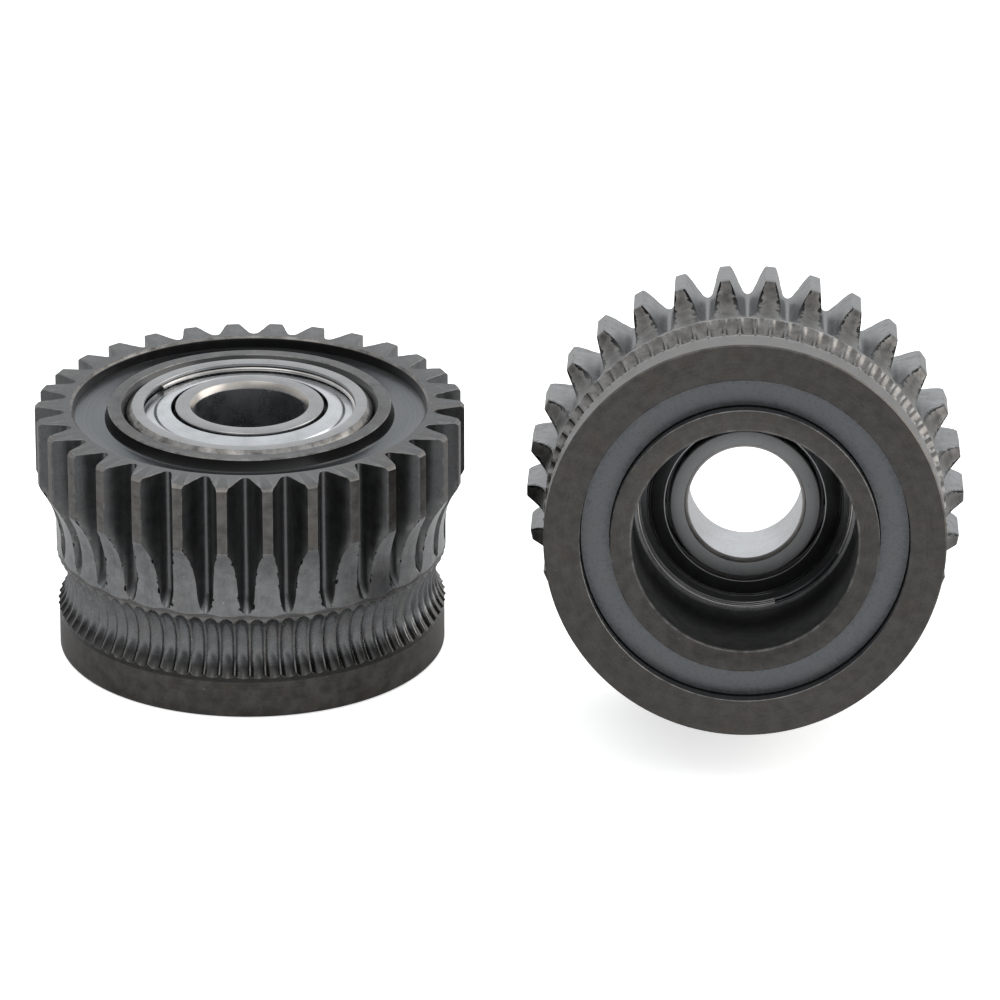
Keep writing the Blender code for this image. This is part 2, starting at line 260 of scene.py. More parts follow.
def dish(z, middle, half, edge_r, neck_r):
    """Radius of a hollow arc round the gear at height z, or more than edge_r outside it."""
    depth = edge_r - neck_r
    radius = (half**2 + depth**2) / (2 * depth)
    reach = radius**2 - (z - middle) ** 2
    return neck_r + radius - math.sqrt(max(reach, 0))


def blank_radius(z):
    """Radius of the turned blank before the teeth and notches are cut."""
    if z >= TIP_END_Z:
        return TIP_R - max(0, z - (HEIGHT - TIP_CHAMFER))
    if z >= SWEEP_FOOT_Z:
        return LAND_R + SWEEP_R - math.sqrt(SWEEP_R**2 - (z - SWEEP_FOOT_Z) ** 2)
    if abs(z - GROOVE_Z) < GROOVE_HALF:
        return dish(z, GROOVE_Z, GROOVE_HALF, LAND_R, GROOVE_NECK_R)
    return LAND_R if z > GROOVE_Z else FLANGE_R


def gap_shape():
    """One side of a tooth gap, as angles from its middle and radii, both rising."""
    base_r = MODULE * TEETH / 2 * math.cos(PRESSURE_ANGLE)
    foot = math.pi / (2 * TEETH) - math.tan(PRESSURE_ANGLE) + PRESSURE_ANGLE
    corner_r = ROOT_R + ROOT_FILLET
    flat = corner_r * foot - ROOT_FILLET
    angles = [0.0]
    radii = [ROOT_R]
    for turn in np.linspace(-math.pi / 2, 0, FILLET_POINTS):
        radius = corner_r + ROOT_FILLET * math.sin(turn)
        angles.append((flat + ROOT_FILLET * math.cos(turn)) / radius)
        radii.append(radius)
    for radius in np.linspace(corner_r + FLANK_START, TIP_R + FLANK_SPARE, FLANK_POINTS):
        lean = math.acos(base_r / radius)
        angles.append(foot + math.tan(lean) - lean)
        radii.append(radius)
    depth = np.clip((PINCH_TOP_R - np.array(radii)) / (PINCH_TOP_R - ROOT_R), 0, 1)
    return np.array(angles) * (1 - ROOT_PINCH * depth), np.array(radii)


GAP_ANGLES, GAP_RADII = gap_shape()


def from_gap(column):
    """Columns from the middle of the nearest tooth gap."""
    return column % GAP_PERIOD - GAP_PERIOD // 2


def from_notch(column):
    """Columns from the middle of the nearest notch."""
    return (column + NOTCH_PERIOD // 2) % NOTCH_PERIOD - NOTCH_PERIOD // 2


def spread(reach, edge, edge_columns, half, half_columns):
    """Angles from a cut's middle: the columns up to its edge share the cut, the others the rest."""
    inside = edge * reach / edge_columns
    outside = edge + (half - edge) * (reach - edge_columns) / (half_columns - edge_columns)
    return np.where(reach <= edge_columns, inside, outside)


def tooth_row(z):
    """Angles and radii of one row of the skin in the toothed stretch."""
    blank = blank_radius(z)
    share = max(0.0, 1 - (z - GAP_END_Z) / GAP_RISE)
    lift = (LAND_R - ROOT_R) * share**2
    edge = LEAST_GAP
    if blank - lift > ROOT_R + 1e-6:
        edge = max(edge, float(np.interp(blank - lift, GAP_RADII, GAP_ANGLES)))
    half = math.pi / TEETH
    column = np.arange(COLUMNS)
    offset = from_gap(column)
    reach = np.abs(offset)
    away = spread(reach, edge, GAP_HALF_COLUMNS, half, GAP_PERIOD / 2)
    middle = (column // GAP_PERIOD + 0.5) * 2 * half
    floor = np.minimum(np.interp(away, GAP_ANGLES, GAP_RADII) + lift, blank)
    radius = np.where(reach < GAP_HALF_COLUMNS, floor, blank)
    return middle + np.sign(offset) * away, radius


def plain_row(radius):
    """Angles and radii of one row of the skin where it is round."""
    column = np.arange(COLUMNS)
    return column * 2 * math.pi / COLUMNS, np.full(COLUMNS, radius)


def notch_row(z):
    """Angles and radii of one row of the skin in the notched stretch."""
    blank = blank_radius(z)
    floor = dish(z, NOTCH_Z, NOTCH_HALF, LAND_R, NOTCH_FLOOR_R)
    depth = min(max(blank - floor, 0), NOTCH_CUTTER_R)
    width = math.sqrt(NOTCH_CUTTER_R**2 - (NOTCH_CUTTER_R - depth) ** 2)
    edge = max(LEAST_NOTCH, width / blank)
    half = math.pi / NOTCHES
    column = np.arange(COLUMNS)
    offset = from_notch(column)
    reach = np.abs(offset)
    away = spread(reach, edge, NOTCH_HALF_COLUMNS, half, NOTCH_PERIOD / 2)
    rise = NOTCH_CUTTER_R - np.sqrt(np.maximum(NOTCH_CUTTER_R**2 - (away * blank) ** 2, 0))
    radius = np.where(reach < NOTCH_HALF_COLUMNS, np.minimum(floor + rise, blank), blank)
    middle = np.round((column - offset) / NOTCH_PERIOD) * 2 * half
    return middle + np.sign(offset) * away, radius


def inset(angles, radii, amount):
    """The closed outline moved into the metal by amount, for a broken top edge."""
    x = radii * np.cos(angles)
    y = radii * np.sin(angles)
    dx = np.roll(x, -1) - np.roll(x, 1)
    dy = np.roll(y, -1) - np.roll(y, 1)
    length = np.hypot(dx, dy)
    x = x - amount * dy / length
    y = y + amount * dx / length
    return np.arctan2(y, x), np.hypot(x, y)


def skin_rows():
    """Rows of the gear's outer skin from the top face to the flange face: z, angles, radii, kind.
    The first row is the tip of the broken top edge, and the last that of the flange face."""
    rows = [(HEIGHT, *inset(*tooth_row(HEIGHT), BREAK), "tooth")]
    chamfer_z = HEIGHT - TIP_CHAMFER
    straight = [HEIGHT - BREAK, chamfer_z + BREAK, chamfer_z, chamfer_z - BREAK]
    straight += list(np.linspace(HEIGHT - FIRST_TIP_ROW, TIP_END_Z, TIP_ROWS))
    sweep = list(np.linspace(TIP_END_Z, GAP_END_Z + GAP_RISE, SWEEP_ROWS)[1:])
    run_out = list(GAP_END_Z + GAP_RISE * np.linspace(1, 0, RUN_OUT_ROWS)[1:] ** RUN_OUT_CROWDING)
    for z in straight + sweep + run_out:
        rows.append((z, *tooth_row(z), "tooth"))
    top_end = NOTCH_Z + NOTCH_HALF
    rows.append(((GAP_END_Z + top_end) / 2, *plain_row(LAND_R), "plain"))
    steps = np.linspace(0, 1, NOTCH_ROWS)
    crowded = steps - np.sin(2 * math.pi * steps) / (2 * math.pi) * NOTCH_CROWDING
    for z in top_end - 2 * NOTCH_HALF * crowded:
        rows.append((z, *notch_row(z), "notch"))
    for z in RIM_ROWS_Z:
        rows.append((z, *plain_row(FLANGE_R), "plain"))
    rows.append((0.0, *plain_row(FLANGE_R - FLANGE_EDGE_IN), "plain"))
    return rows


def inner_profile():
    """Profile from the top face's inner edge through the recess, seat and bore to the flange face:
    radius, height and the look of the stretch that follows."""
    floor_z = HEIGHT - RECESS_DEPTH
    shoulder_z = HEIGHT - BEARING_W - SEAT_SPARE
    wall_r = RECESS_OUT - RECESS_CHAMFER
    corner = RECESS_ROUND
    middle = corner * ROUND_MIDDLE
    return [
        (RECESS_OUT + BREAK, HEIGHT, "edge"),
        (RECESS_OUT, HEIGHT - BREAK, "chamfer"),
        (wall_r + BREAK, HEIGHT - RECESS_CHAMFER + BREAK, "dark"),
        (wall_r, HEIGHT - RECESS_CHAMFER - BREAK, "dark"),
        (wall_r, floor_z + corner, "dark"),
        (wall_r - middle, floor_z + middle, "dark"),
        (wall_r - corner, floor_z, "floor"),
        (RECESS_IN + corner, floor_z, "floor"),
        (RECESS_IN + middle, floor_z + middle, "dark"),
        (RECESS_IN - COLLAR_LEAN, floor_z + corner, "dark"),
        (COLLAR_TOP_R + EASE, HEIGHT - FILLET, "edge"),
        (COLLAR_TOP_R - EASE, HEIGHT, "collar"),
        (SEAT_MOUTH_R + BREAK, HEIGHT, "edge"),
        (SEAT_MOUTH_R - BREAK / 2, HEIGHT - EASE, "dark"),
        (SEAT_R, HEIGHT - SEAT_MOUTH_DEPTH, "dark"),
        (SEAT_R, shoulder_z, "dark"),
        (THROUGH_R + FILLET, shoulder_z, "dark"),
        (THROUGH_R, shoulder_z - FILLET, "bore"),
        (THROUGH_R, THROUGH_ROUND, "edge"),
        (THROUGH_R + THROUGH_ROUND * ROUND_MIDDLE, THROUGH_ROUND * ROUND_MIDDLE, "edge"),
        (THROUGH_R + THROUGH_ROUND, 0, "flange"),
        (FLANGE_RECESS_IN - EASE, 0, "edge"),
        (FLANGE_RECESS_IN, EASE, "dark"),
        (FLANGE_RECESS_IN, FLANGE_RECESS_DEPTH - FILLET, "dark"),
        (FLANGE_RECESS_IN + FILLET, FLANGE_RECESS_DEPTH, "annulus"),
        (FLANGE_RECESS_OUT - FILLET, FLANGE_RECESS_DEPTH, "dark"),
        (FLANGE_RECESS_OUT, FLANGE_RECESS_DEPTH - FILLET, "dark"),
        (FLANGE_RECESS_OUT, EASE, "edge"),
        (FLANGE_RECESS_OUT + EASE, 0, "flange"),
        (FLANGE_R - FLANGE_BAND, 0, "flange"),
    ]


GEAR_LOOKS = ("turned", "sweep", "flank", "root", "notch", "ridge", "face", "floor", "collar", "chamfer",
              "dark", "edge", "bore", "flange", "annulus", "rim")


def skin_look(kind, z, column):
    """The look of the skin's facet that starts at the column, in the stretch below height z."""
    if kind == "notch":
        return "notch" if abs(from_notch(column + 0.5)) < NOTCH_HALF_COLUMNS else "ridge"
    if kind == "tooth":
        reach = abs(from_gap(column + 0.5))
        if reach < ROOT_HALF_COLUMNS:
            return "root"
        if reach < GAP_HALF_COLUMNS:
            return "flank"
        return "turned" if z > TIP_END_Z + BREAK else "sweep"
    return "rim" if z < GROOVE_Z else "turned"


def row_wear(kind, z, radii):
    """How worn each point of a skin row is: 1 on burred corners, EDGE_WEAR on clean ones, else 0."""
    column = np.arange(COLUMNS)
    if kind == "tooth":
        reach = np.abs(from_gap(column))
        if z > TIP_END_Z:
            worn = (reach == GAP_HALF_COLUMNS) * EDGE_WEAR
        else:
            worn = np.clip(1 - abs(reach - GAP_HALF_COLUMNS) / BURR_COLUMNS, 0, 1)
        if abs(z - (HEIGHT - TIP_CHAMFER)) < BREAK / 2:
            worn = worn + (reach > GAP_HALF_COLUMNS) * EDGE_WEAR
        return worn
    if kind == "notch" and np.ptp(radii) > NOTCH_SEEN:
        return (np.abs(from_notch(column)) == NOTCH_HALF_COLUMNS) * EDGE_WEAR
    return np.zeros(COLUMNS)


def gear_mesh(materials):
    """The whole gear body as one closed mesh: fine skin outside, coarser turned faces inside."""
    rows = skin_rows()
    verts = []
    for z, angles, radii, _ in rows:
        points = np.stack([radii * np.cos(angles), radii * np.sin(angles), np.full(COLUMNS, z)], axis=1)
        verts.append(points * MM)
    faces = []
    looks = []
    for k in range(len(rows) - 1):
        faces += [face[::-1] for face in strip_faces(k * COLUMNS, (k + 1) * COLUMNS, COLUMNS)]
        if k == 0:
            looks += ["edge"] * COLUMNS
        else:
            kind = rows[k][3]
            looks += [skin_look(kind, rows[k][0], column) for column in range(COLUMNS)]
    inner = inner_profile()
    base = len(rows) * COLUMNS
    verts.append(ring_grid([(r, z) for r, z, _ in inner], TURN_STEPS).reshape(-1, 3))
    for k in range(len(inner) - 1):
        start = base + k * TURN_STEPS
        faces += strip_faces(start, start + TURN_STEPS, TURN_STEPS)
        looks += [inner[k][2]] * TURN_STEPS
    ratio = COLUMNS // TURN_STEPS
    last_row = (len(rows) - 1) * COLUMNS
    last_ring = base + (len(inner) - 1) * TURN_STEPS
    for j in range(TURN_STEPS):
        fine = [(ratio * j + i) % COLUMNS for i in range(ratio + 1)]
        after = (j + 1) % TURN_STEPS
        faces.append([base + after, base + j] + fine)
        looks.append("face")
        faces.append([last_ring + j, last_ring + after] + [last_row + i for i in reversed(fine)])
        looks.append("flange")
    mesh = bpy.data.meshes.new("gear_body")
    mesh.from_pydata(np.concatenate(verts).tolist(), [], faces)
    wear = np.zeros(len(mesh.vertices))
    wear[:base] = np.concatenate([row_wear(kind, z, radii) for z, _, radii, kind in rows])
    mesh.attributes.new("wear", "FLOAT", "POINT").data.foreach_set("value", wear)
    for look in GEAR_LOOKS:
        mesh.materials.append(materials[look])
    mesh.polygons.foreach_set("material_index", [GEAR_LOOKS.index(look) for look in looks])
    smooth(mesh)
    return mesh


# ---------------------------------------------------------------- bearing


def track(rib_r, outer):
    """The ball's track in a ring, from one rib to the other."""
    half = math.acos(abs(rib_r - BALL_PITCH_R) / RACE_R)
    middle = 0.0 if outer else math.pi
    return arc((BALL_PITCH_R, 0), RACE_R, middle - half, middle + half, TRACK_STEPS)


def outer_ring_mesh(materials):
    """The outer race, with the snap ring grooves; its second material is that of the chamfers."""
    half = BEARING_W / 2
    chamfer = OUTER_CHAMFER
    ease_in, ease_down = FACE_EASE
    profile = [
        (OUTER_FACE_R + ease_in, half),
        (BEARING_R - chamfer, half),
        (BEARING_R, half - chamfer),
        (BEARING_R, chamfer - half),
        (BEARING_R - chamfer, -half),
        (OUTER_FACE_R + ease_in, -half),
        (OUTER_FACE_R, ease_down - half),
        (OUTER_FACE_R, -SNAP_GROOVE_HIGH),
        (SNAP_GROOVE_R, -SNAP_GROOVE_HIGH),
        (SNAP_GROOVE_R, -RIB_HALF),
        (OUTER_RIB_R, -RIB_HALF),
    ]
    profile += track(OUTER_RIB_R, True)
    profile += [
        (OUTER_RIB_R, RIB_HALF),
        (SNAP_GROOVE_R, RIB_HALF),
        (SNAP_GROOVE_R, SNAP_GROOVE_HIGH),
        (OUTER_FACE_R, SNAP_GROOVE_HIGH),
        (OUTER_FACE_R, half - ease_down),
    ]

    def choose(radius, height):
        return int(radius > BEARING_R - chamfer and abs(height) > half - chamfer)

    return lathe("outer_ring", rounded(profile, OUTER_ROUND, 2), RING_STEPS, materials, choose)


def inner_ring_mesh(materials):
    """The inner race. Its materials are those of its top side, bore chamfers, bore and lower side."""
    half = BEARING_W / 2
    across, along = BORE_CHAMFER
    profile = [
        (BORE_R + across, half),
        (INNER_FACE_R - INNER_CHAMFER, half),
        (INNER_FACE_R, half - INNER_CHAMFER),
        (INNER_FACE_R, RIB_HALF),
        (INNER_RIB_R, RIB_HALF),
    ]
    profile += track(INNER_RIB_R, False)
    profile += [
        (INNER_RIB_R, -RIB_HALF),
        (INNER_FACE_R, -RIB_HALF),
        (INNER_FACE_R, INNER_CHAMFER - half),
        (INNER_FACE_R - INNER_CHAMFER, -half),
        (BORE_R + across, -half),
        (BORE_R, along - half),
        (BORE_R, half - along),
    ]

    def choose(radius, height):
        if radius < BORE_R + 0.01:
            return 2
        if radius < BORE_R + across:
            return 1
        return 3 if height < 0 else 0

    return lathe("inner_ring", rounded(profile, INNER_ROUND, 2), RING_STEPS, materials, choose)


def shield_mesh(direction, materials):
    """A pressed shield, sloping down from its inner edge to the rim that the snap ring holds."""
    slope_end = SHIELD_TOP - SHIELD_FALL
    outline = [
        (SHIELD_IN, SHIELD_TOP),
        (SHIELD_BEND_R, slope_end),
        (SHIELD_RIM_R, SHIELD_RIM_Z),
        (SHIELD_OUT, SHIELD_RIM_Z),
        (SHIELD_OUT, SHIELD_RIM_Z - SHEET),
        (SHIELD_RIM_R - SHEET_BEND, SHIELD_RIM_Z - SHEET),
        (SHIELD_BEND_R - SHEET_BEND, slope_end - SHEET),
        (SHIELD_IN, SHIELD_TOP - SHEET),
    ]
    if direction < 0:
        outline = [(r, -z) for r, z in reversed(outline)]
    return lathe("shield", rounded(outline, SHIELD_ROUND, 4), RING_STEPS, materials)


def snap_ring_mesh(direction, gap_at, material):
    """An open ring of round wire with flat ends."""
    curve = bpy.data.curves.new("snap_ring", "CURVE")
    curve.dimensions = "3D"
    curve.bevel_depth = SNAP_WIRE * MM
    curve.bevel_resolution = WIRE_SIDES // 2 - 2
    curve.use_fill_caps = True
    start = gap_at + SNAP_GAP / 2
    circle = arc((0, 0), SNAP_R, start, start + 2 * math.pi - SNAP_GAP, WIRE_STEPS)
    spline = curve.splines.new("POLY")
    spline.points.add(len(circle) - 1)
    for point, (x, y) in zip(spline.points, circle):
        point.co = (x * MM, y * MM, direction * SNAP_Z * MM, 1)
    holder = bpy.data.objects.new("snap_ring", curve)
    bpy.context.scene.collection.objects.link(holder)
    bpy.context.view_layer.update()
    mesh = finished_mesh([holder], material)
    shape = bmesh.new()
    shape.from_mesh(mesh)
    bmesh.ops.remove_doubles(shape, verts=shape.verts, dist=CLOSE)
    bmesh.ops.recalc_face_normals(shape, faces=shape.faces)
    shape.to_mesh(mesh)
    shape.free()
    smooth(mesh)
    return mesh


def sphere_mesh(name, radius, facets, spots):
    """Spheres of one radius, one at each of the given places, as one mesh."""
    shape = bmesh.new()
    round_facets, height_facets = facets
    for spot in spots:
        bmesh.ops.create_uvsphere(
            shape, u_segments=round_facets, v_segments=height_facets, radius=radius * MM, matrix=spot
        )
    mesh = bpy.data.meshes.new(name)
    shape.to_mesh(mesh)
    shape.free()
    return mesh


def ball_mesh(material):
    """One polished ball about its own middle."""
    mesh = sphere_mesh("ball", BALL_R, BALL_FACETS, [Matrix.Identity(4)])
    mesh.materials.append(material)
    mesh.shade_smooth()
    return mesh


def cage_mesh(material):
    """Crown cage: a ring with a round pocket for each ball, open on one side."""
    profile = [(CAGE_IN, CAGE_HIGH), (CAGE_OUT, CAGE_HIGH), (CAGE_OUT, CAGE_LOW), (CAGE_IN, CAGE_LOW)]
    blank_mesh = lathe("cage_blank", rounded(profile, CAGE_ROUND, 2), CAGE_STEPS, [material])
    spots = [ball_spot(k) for k in range(BALL_COUNT)]
    blank = bpy.data.objects.new("cage_blank", blank_mesh)
    pockets = bpy.data.objects.new("pockets", sphere_mesh("pockets", POCKET_R, POCKET_FACETS, spots))
    for item in (blank, pockets):
        bpy.context.scene.collection.objects.link(item)
    cut = blank.modifiers.new("pockets", "BOOLEAN")
    cut.object = pockets
    cut.operation = "DIFFERENCE"
    cut.solver = "EXACT"
    bpy.context.view_layer.update()
    mesh = finished_mesh([blank, pockets], material)
    smooth(mesh)
    return mesh


# ---------------------------------------------------------------- materials

NOISE_ROUGHNESS = 0.55
NOISES = {  # features for each millimetre, levels of detail, stretch where there is one
    "cloud": (1.8, 7),
    "stain": (0.8, 8, (1, 1, 1.5)),
    "grain": (11.0, 3),
    "speck": (4.5, 2),
    "wear": (2.2, 5),
    "burr": (3.2, 6),
    "round": (9.0, 3),
    "radial": (9.0, 2),
    "along": (9.0, 3, (1, 1, 0.06)),
    "plain": (14.0, 3),
    "smudge": (0.9, 6),
    "ground": (16.0, 3),
    "blasted": (18.0, 3),
    "steel_speck": (5.0, 2),
}

# Coats of tint: where they go, how much they cover at most, the noise levels between which they come
# in, their brightness as a share of the material's, and how much browner they are
TICK_COATS = (("marks", 0.55, 0.45, 0.6, 0.5, 0.0),)
OXIDE_COATS = (
    ("stain", 0.55, 0.52, 0.7, 0.95, 0.09),
    ("marks", 0.45, 0.45, 0.7, 1.25, 0.0),
    ("grain", 0.5, 0.54, 0.72, 0.55, 0.0),
)
STEEL_COATS = (
    ("marks", 0.3, 0.45, 0.7, 0.7, 0.0),
    ("steel_speck", 0.5, 0.7, 0.76, 0.45, 0.0),
)
CLOUD_SPAN, SMUDGE_SPAN = (0.36, 0.64), (0.35, 0.65)  # noise levels of the darkest and lightest mottle
SPECK_SPAN = (0.72, 0.78)
SPECK_GAIN, SPECK_LEAST = 2.2, 0.08  # specks are this much lighter than the metal around them
DARKEST, DARK_COVER, DARK_EDGE, DARK_RAGGED = 0.2, 0.9, 0.35, 0.3  # of the painted shade on the notches' lower ends
WEAR_SHOWN = (0.15, 0.8, 0.5, 0.68)  # least and most bare metal on an edge, and from and to which noise
BURR_NOISE, BURR_CHANCE = 1.3, 1.6  # how strongly two noises break up the line of burrs
BURR_START, BURR_EDGE = 2.5, 0.08  # how worn and rough an edge must be to carry black burrs
TICKS_ROUND, TICKS_ALONG = 4.5, 0.25  # fineness of the annulus's radial ticks, round it and along them
TICK_STRENGTH = (0.5, 1.05, 0.1, 0.5)  # least and most, and how far from the annulus's middle, in mm
ROUND_SHEEN = 0.55  # how strongly turned faces stretch their highlights
OXIDE_RELIEF, OXIDE_BUMP = 0.4, 0.006  # strength of the fine relief, and its depth in millimetres
STEEL_BUMP = 0.003


def grey(level, warm=0.0):
    """A near-neutral colour; warm above zero leans to brown, below zero to blue."""
    return (level * (1 + warm), level, level * (1 - warm))


WORN_STEEL = grey(0.34, 0.03)
BURR_BLACK = grey(0.008)


class Nodes:
    """Short calls for building one material's node tree."""

    def __init__(self, name):
        self.material = bpy.data.materials.new(name)
        self.material.use_nodes = True
        self.tree = self.material.node_tree
        self.shader = self.tree.nodes["Principled BSDF"]
        self.place = self.add("ShaderNodeTexCoord").outputs["Object"]

    def add(self, kind, **values):
        """A new node of that kind, with the given settings."""
        node = self.tree.nodes.new(kind)
        for key, value in values.items():
            setattr(node, key, value)
        return node

    def put(self, value, socket):
        """Links another node's output to the socket, or sets the socket to a number or a colour."""
        if isinstance(value, tuple):
            socket.default_value = (*value, 1)
        elif isinstance(value, (int, float)):
            socket.default_value = value
        else:
            self.tree.links.new(value, socket)

    def noise(self, kind, source=None):
        """One of the NOISES, over the piece or over another texture place."""
        scale, detail, *stretch = NOISES[kind]
        mapping = self.add("ShaderNodeMapping")
        if stretch:
            mapping.inputs["Scale"].default_value = stretch[0]
        self.put(source or self.place, mapping.inputs["Vector"])
        node = self.add("ShaderNodeTexNoise")
        node.inputs["Scale"].default_value = scale / MM
        node.inputs["Detail"].default_value = detail
        node.inputs["Roughness"].default_value = NOISE_ROUGHNESS
        self.put(mapping.outputs["Vector"], node.inputs["Vector"])
        return node.outputs["Fac"]

    def ramp(self, source, low, high, start, end):
        """Maps source from start..end to low..high, which are both numbers or both colours."""
        if isinstance(low, tuple):
            node = self.add("ShaderNodeValToRGB")
            ends = node.color_ramp.elements
            ends[0].position, ends[1].position = start, end
            ends[0].color, ends[1].color = (*low, 1), (*high, 1)
            self.put(source, node.inputs["Fac"])
            return node.outputs["Color"]
        node = self.add("ShaderNodeMapRange")
        for name, value in (("From Min", start), ("From Max", end), ("To Min", low), ("To Max", high)):
            node.inputs[name].default_value = value
        self.put(source, node.inputs["Value"])
        return node.outputs["Result"]

    def mix(self, factor, first, second):
        """The first colour where factor is 0, the second where it is 1."""
        node = self.add("ShaderNodeMix", data_type="RGBA")
        for name, value in (("Factor", factor), ("A", first), ("B", second)):
            self.put(value, node.inputs[name])
        return node.outputs["Result"]

    def cover(self, colour, source, most, start, end, tint):
        """Covers colour with tint, from not at all where source is start to most where it is end."""
        return self.mix(self.ramp(source, 0.0, most, start, end), colour, tint)

    def coats(self, colour, coats, noises, level, warm):
        """The colour under several coats of tint."""
        for kind, most, start, end, share, browner in coats:
            tint = grey(level * share, warm + browner)
            colour = self.cover(colour, noises[kind], most, start, end, tint)
        return colour

    def math(self, operation, first, second=0.0):
        node = self.add("ShaderNodeMath", operation=operation)
        self.put(first, node.inputs[0])
        self.put(second, node.inputs[1])
        return node.outputs["Value"]

    def plus(self, first, second):
        return self.math("ADD", first, second)

    def times(self, first, second):
        return self.math("MULTIPLY", first, second)

    def polar(self):
        """Radius in millimetres and angle in radians about the piece's own axis, and its height."""
        split = self.add("ShaderNodeSeparateXYZ")
        self.put(self.place, split.inputs["Vector"])
        x, y, z = split.outputs
        square = self.plus(self.times(x, x), self.times(y, y))
        radius = self.math("DIVIDE", self.math("SQRT", square), MM)
        return radius, self.math("ARCTAN2", y, x), self.math("DIVIDE", z, MM)

    def flat_place(self, across, along):
        """A texture place made of two of the polar values, scaled back to metres."""
        node = self.add("ShaderNodeCombineXYZ")
        self.put(self.times(across, MM), node.inputs["X"])
        self.put(self.times(along, MM), node.inputs["Z"])
        return node.outputs["Vector"]

    def bump(self, height, strength, distance):
        """Fine relief, distance millimetres deep at full strength."""
        node = self.add("ShaderNodeBump")
        node.inputs["Strength"].default_value = strength
        node.inputs["Distance"].default_value = distance * MM
        self.put(height, node.inputs["Height"])
        self.put(node.outputs["Normal"], self.shader.inputs["Normal"])

    def turned(self, strength):
        """Stretch the highlights across tool marks that run round the object's own Z axis."""
        way = self.add("ShaderNodeTangent", direction_type="RADIAL", axis="Z")
        self.shader.inputs["Anisotropic"].default_value = strength
        self.put(way.outputs["Tangent"], self.shader.inputs["Tangent"])

    def finish(self, colour, roughness, metallic=1.0):
        """Sets the shader's main inputs and returns the material."""
        for name, value in (("Base Color", colour), ("Roughness", roughness), ("Metallic", metallic)):
            self.put(value, self.shader.inputs[name])
        return self.material


def tool_marks(n, lines):
    """The fine lines that a tool left: round (turned), along (drawn lengthwise), radial (ticks on
    the annulus) or None for a grain without direction."""
    radius, angle, height = n.polar()
    if lines == "round":
        return n.noise("round", n.flat_place(radius, height))
    if lines == "radial":
        place = n.flat_place(n.times(angle, TICKS_ROUND), n.times(radius, TICKS_ALONG))
        middle = (FLANGE_RECESS_IN + FLANGE_RECESS_OUT) / 2
        from_middle = n.math("ABSOLUTE", n.math("SUBTRACT", radius, middle))
        return n.times(n.noise("radial", place), n.ramp(from_middle, *TICK_STRENGTH))
    return n.noise(lines or "plain")


def oxide(name, level, rough, warm=0.0, lines=None, depth=0.3, mottle=0.18, specks=0.5, shine=None,
          burrs=0.0, painted_shade_below=None):
    """Dark oxided steel: softly mottled, with brownish stains, dark pits, light specks, a fine tool
    texture and worn corners. lines is the tool marks' direction and depth their strength. shine,
    where given, makes the coating a dull one with that much gloss. burrs is how much heavier than
    usual the black burrs on swept edges are. Under the height given last, in millimetres, the
    metal is painted much darker, as painted shade."""
    n = Nodes(name)
    cloud = n.noise("cloud")
    grain = n.noise("grain")
    marks = tool_marks(n, lines)
    noises = {"stain": n.noise("stain"), "marks": marks, "grain": grain}
    darker, lighter = grey(level * (1 - mottle), warm), grey(level * (1 + mottle), warm)
    colour = n.ramp(cloud, darker, lighter, *CLOUD_SPAN)
    coats = (TICK_COATS if lines == "radial" else ()) + OXIDE_COATS
    colour = n.coats(colour, coats, noises, level, warm)
    light = grey(level * SPECK_GAIN + SPECK_LEAST, 0.03)
    colour = n.cover(colour, n.noise("speck"), specks, *SPECK_SPAN, light)
    # Painted shade: below the given height the metal is painted much darker
    if painted_shade_below is not None:
        _, _, height = n.polar()
        ragged_height = n.plus(height, n.times(grain, DARK_RAGGED))
        shade = grey(level * DARKEST, 0.05)
        colour = n.cover(colour, ragged_height, DARK_COVER, painted_shade_below + DARK_EDGE, painted_shade_below, shade)
    worn = n.add("ShaderNodeAttribute", attribute_name="wear").outputs["Fac"]
    chance = n.noise("wear")
    colour = n.mix(n.times(worn, n.ramp(chance, *WEAR_SHOWN)), colour, WORN_STEEL)
    ragged = n.plus(worn, n.times(n.noise("burr"), BURR_NOISE))
    ragged = n.plus(ragged, n.times(chance, BURR_CHANCE))
    start = BURR_START - burrs
    colour = n.cover(colour, ragged, 1.0, start, start + BURR_EDGE, BURR_BLACK)
    texture = n.plus(cloud, n.times(grain, 0.5))
    roughness = n.ramp(texture, rough * 0.85, rough * 1.2, 0.5, 1.0)
    n.bump(n.plus(n.times(marks, depth), n.times(grain, 0.25)), OXIDE_RELIEF, OXIDE_BUMP)
    if lines == "round":
        n.turned(ROUND_SHEEN)
    if shine is None:
        return n.finish(colour, roughness)
    n.shader.inputs["Specular IOR Level"].default_value = shine
    return n.finish(colour, roughness, 0.0)


def bright_steel(name, level, rough, warm=0.0, turned=True, depth=0.12):
    """Ground or polished bearing steel with faint smudges, a few specks and a fine texture, which
    runs round the axis where the steel is turned."""
    n = Nodes(name)
    if turned:
        radius, _, height = n.polar()
        marks = n.noise("ground", n.flat_place(radius, height))
    else:
        marks = n.noise("blasted")
    smudge = n.noise("smudge")
    noises = {"marks": marks, "steel_speck": n.noise("steel_speck")}
    colour = n.ramp(smudge, grey(level * 0.84, warm), grey(level * 1.05, warm), *SMUDGE_SPAN)
    colour = n.coats(colour, STEEL_COATS, noises, level, warm)
    texture = n.plus(smudge, n.times(marks, 0.6))
    roughness = n.ramp(texture, rough * 0.75, rough * 1.3, 0.5, 1.1)
    n.bump(marks, depth, STEEL_BUMP)
    return n.finish(colour, roughness)


